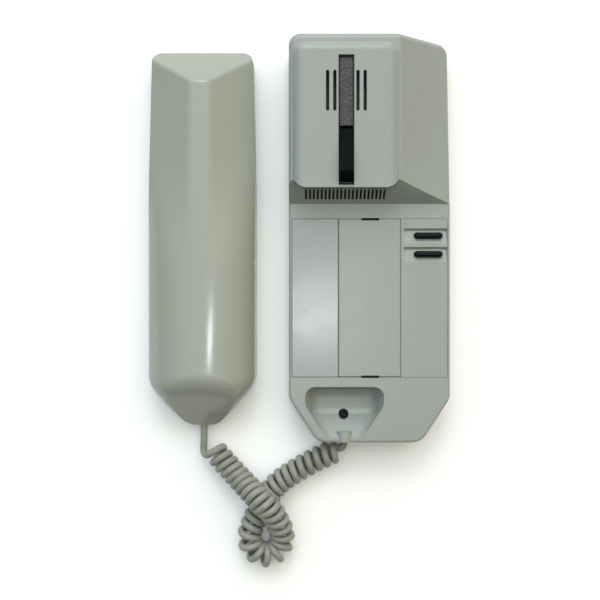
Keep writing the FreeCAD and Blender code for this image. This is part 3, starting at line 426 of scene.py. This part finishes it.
def evenly(line, spacing):
    """The line's points again, spaced evenly along it."""
    reach = np.concatenate([[0], np.cumsum(np.linalg.norm(np.diff(line, axis=0), axis=1))])
    places = np.linspace(0, reach[-1], max(2, int(round(reach[-1] / spacing)) + 1))
    return np.stack([np.interp(places, reach, line[:, k]) for k in range(3)], axis=1), places


def directions(line):
    steps = np.gradient(line, axis=0)
    return steps / np.linalg.norm(steps, axis=1)[:, None]


def frames(line, first_side):
    """For each point a unit side and a unit up, square to the line and carried along it without twist."""
    along = directions(line)
    side = first_side - along[0] * (first_side @ along[0])
    sides = [side / np.linalg.norm(side)]
    for direction in along[1:]:
        side = sides[-1] - direction * (sides[-1] @ direction)
        sides.append(side / np.linalg.norm(side))
    sides = np.array(sides)
    return sides, np.cross(along, sides)


def coil_pitch(axis, places):
    """The coil's advance per turn at each place along its axis."""
    length = places[-1]
    loose_start = 0.9 * MM * (1 - smooth_step(places, 0, 14 * MM))
    loose_end = 0.7 * MM * smooth_step(places, length - 34 * MM, length - 20 * MM)
    loop = smooth_step(places, 42 * MM, 56 * MM) * (1 - smooth_step(places, 96 * MM, 110 * MM))
    pitch = 4.15 * MM + loose_start + loose_end + 1.4 * MM * loop
    # Over the hump, where the coil crosses itself, the turns lean apart on top, so they are set closer.
    hump = np.maximum(-np.gradient(directions(axis)[:, 2], places), 0)
    window = np.full(81, 1 / 81)
    return pitch / (1 + 0.9 * COIL_RADIUS * np.convolve(hump, window, "same"))


def helix(axis, places, start):
    """The wire's line round the coil's axis, beginning at start and ending on the axis."""
    length = places[-1]
    settle = 5 * MM        # the stretch in which the wire swings into the coil, and out of it
    rise = smooth_step(places, -0.3 * settle, settle)
    fall = smooth_step(places, length - settle, length + 0.3 * settle)
    speed = 2 * math.pi * rise * (1 - fall) / coil_pitch(axis, places)
    turn = -np.concatenate([[0], np.cumsum(speed[1:] * np.diff(places))])
    print(f"coil turns {-turn[-1] / (2 * math.pi):.1f} over {length:.3f} m")
    begin = np.linalg.norm(start - axis[0])
    radius = begin + (COIL_RADIUS - begin) * smooth_step(places, 0, 2 * settle)
    radius = radius * (1 - smooth_step(places, length - settle, length))
    sides, ups = frames(axis, start - axis[0])
    return axis + radius[:, None] * (np.cos(turn)[:, None] * sides + np.sin(turn)[:, None] * ups)


def tube_mesh(name, line, radius, corners=14):
    """A round tube along the line, closed at both ends."""
    sides, ups = frames(line, np.array([0.3, 0.2, 1.0]))
    angles = np.linspace(0, 2 * math.pi, corners, endpoint=False)
    rows = [[tuple(p + radius * (math.cos(a) * s + math.sin(a) * u)) for a in angles]
            for p, s, u in zip(line, sides, ups)]
    mesh = skin(name, rows, closed=True)
    work = bmesh.new()
    work.from_mesh(mesh)
    for edges in (work.verts[:corners], work.verts[-corners:]):
        bmesh.ops.contextual_create(work, geom=list(edges))
    bmesh.ops.recalc_face_normals(work, faces=work.faces)
    work.to_mesh(mesh)
    work.free()
    return mesh


def curly_cord():
    lead, _ = evenly(route_line(HANDSET_LEAD), 0.8 * MM)
    axis, places = evenly(route_line(COIL), 0.05 * MM)
    foot, _ = evenly(route_line(BASE_LEAD), 0.8 * MM)
    wire = helix(axis, places, lead[-1])
    wire, _ = evenly(np.concatenate([lead, wire[1:], foot[1:]]), 0.7 * MM)
    # The joins of the three stretches are eased, and the wire rests on the table rather than in it.
    for _ in range(3):
        wire[1:-1] = (wire[:-2] + 2 * wire[1:-1] + wire[2:]) / 4
    wire[:, 2] = np.maximum(wire[:, 2], CORD_DIAMETER / 2)
    mesh = tube_mesh("curly_cord", wire, CORD_DIAMETER / 2)
    piece = new_piece("curly_cord", mesh, JACKET)
    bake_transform(piece)
    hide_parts("cord_coil", "cord_base_lead", "cord_handset_lead")


curly_cord()


# ---------------------------------------------------------------- the lever's return spring

def return_spring():
    """The spring round the switch plunger: it stands on the switch, and the collar above presses it."""
    low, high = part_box("hook_spring")
    wire_radius = 0.28 * MM
    gap = 0.12 * MM        # under the collar
    turns = 5
    x, y, _ = (low + high) / 2
    foot, head = low[2] + wire_radius, high[2] - gap - wire_radius
    reach = (high[0] - low[0]) / 2 - wire_radius
    angles = np.linspace(0, 2 * math.pi * turns, 40 * turns + 1)
    line = np.stack([x + reach * np.cos(angles), y + reach * np.sin(angles),
                     np.linspace(foot, head, len(angles))], axis=1)
    piece = new_piece("return_spring", tube_mesh("return_spring", line, wire_radius, 10), STEEL)
    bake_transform(piece)
    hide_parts("hook_spring")


return_spring()


# ---------------------------------------------------------------- floor, light and camera

def area_light(name, place, target, size, power, colour):
    light = bpy.data.lights.new(name, "AREA")
    light.shape = "RECTANGLE"
    light.size, light.size_y = size
    light.energy = power
    light.color = colour
    lamp = new_object(name, light)
    lamp.location = place
    lamp.rotation_euler = (Vector(target) - Vector(place)).to_track_quat("-Z", "Y").to_euler()


def floor():
    mesh = skin("floor", [[(x, y, 0) for x in (-3, 3)] for y in (-3, 3)])
    shader = Shader("pale_floor")
    shader.colour(shader.ramp(shader.noise(3, 2), [(0.3, 0.95), (0.7, 0.97)]))
    shader.set(Roughness=0.9)
    new_piece("floor", mesh, shader.material)


def room_light(lobes, ground):
    """A soft room: wide patches of light, each (direction, sharpness, colour), over an even ground tone."""
    world = bpy.data.worlds.new("room")
    world.use_nodes = True
    tree = world.node_tree

    def calculate(kind, operation, *values):
        """A maths node with its inputs set: each is a number, a vector or another node's output."""
        node = tree.nodes.new(kind)
        node.operation = operation
        for socket, value in zip(node.inputs, values):
            if isinstance(value, bpy.types.NodeSocket):
                tree.links.new(value, socket)
            else:
                socket.default_value = value
        return node.outputs

    place = tree.nodes.new("ShaderNodeTexCoord").outputs["Generated"]
    total = (ground, ground, ground)
    for direction, sharpness, colour in lobes:
        towards = Vector(direction).normalized()
        facing = calculate("ShaderNodeVectorMath", "DOT_PRODUCT", place, towards)["Value"]
        positive = calculate("ShaderNodeMath", "MAXIMUM", facing, 0)[0]
        patch = calculate("ShaderNodeMath", "POWER", positive, sharpness)[0]
        total = calculate("ShaderNodeVectorMath", "MULTIPLY_ADD", patch, colour, total)["Vector"]
    tree.links.new(total, tree.nodes["Background"].inputs["Color"])
    bpy.context.scene.world = world


VIEW_CENTRE = (-36.25 * MM, -30.6 * MM)
VIEW_HEIGHT = 450 * MM


def camera():
    """Straight down on the middle of the group, from arm's length."""
    lens = bpy.data.cameras.new("camera")
    lens.sensor_width = 36
    lens.lens = 49.3
    lens.clip_start = 0.01
    eye = new_object("camera", lens)
    eye.location = (*VIEW_CENTRE, VIEW_HEIGHT)
    bpy.context.scene.camera = eye


floor()
room_light([((0, 0.8, 1), 3, (2.05, 2.25, 2.2)),
            ((0, 1, 0.3), 4, (0.65, 0.6, 0.85)),
            ((1, 0.2, 0.7), 3, (0.55, 0.36, 0.1)),
            ((-1, 0.2, 0.7), 3, (0.16, 0.2, 0.24))], 0.05)
area_light("lamp", (-0.018, -0.044, 0.46), (-0.035, -0.05, 0), (0.03, 0.06), 0.2, (0.95, 1.0, 1.0))
area_light("window", (-0.1, 1.1, 1.15), (-0.05, 0, 0), (0.5, 0.25), 3.4, (0.93, 1.0, 1.0))
camera()
bpy.context.scene.view_settings.view_transform = "Standard"
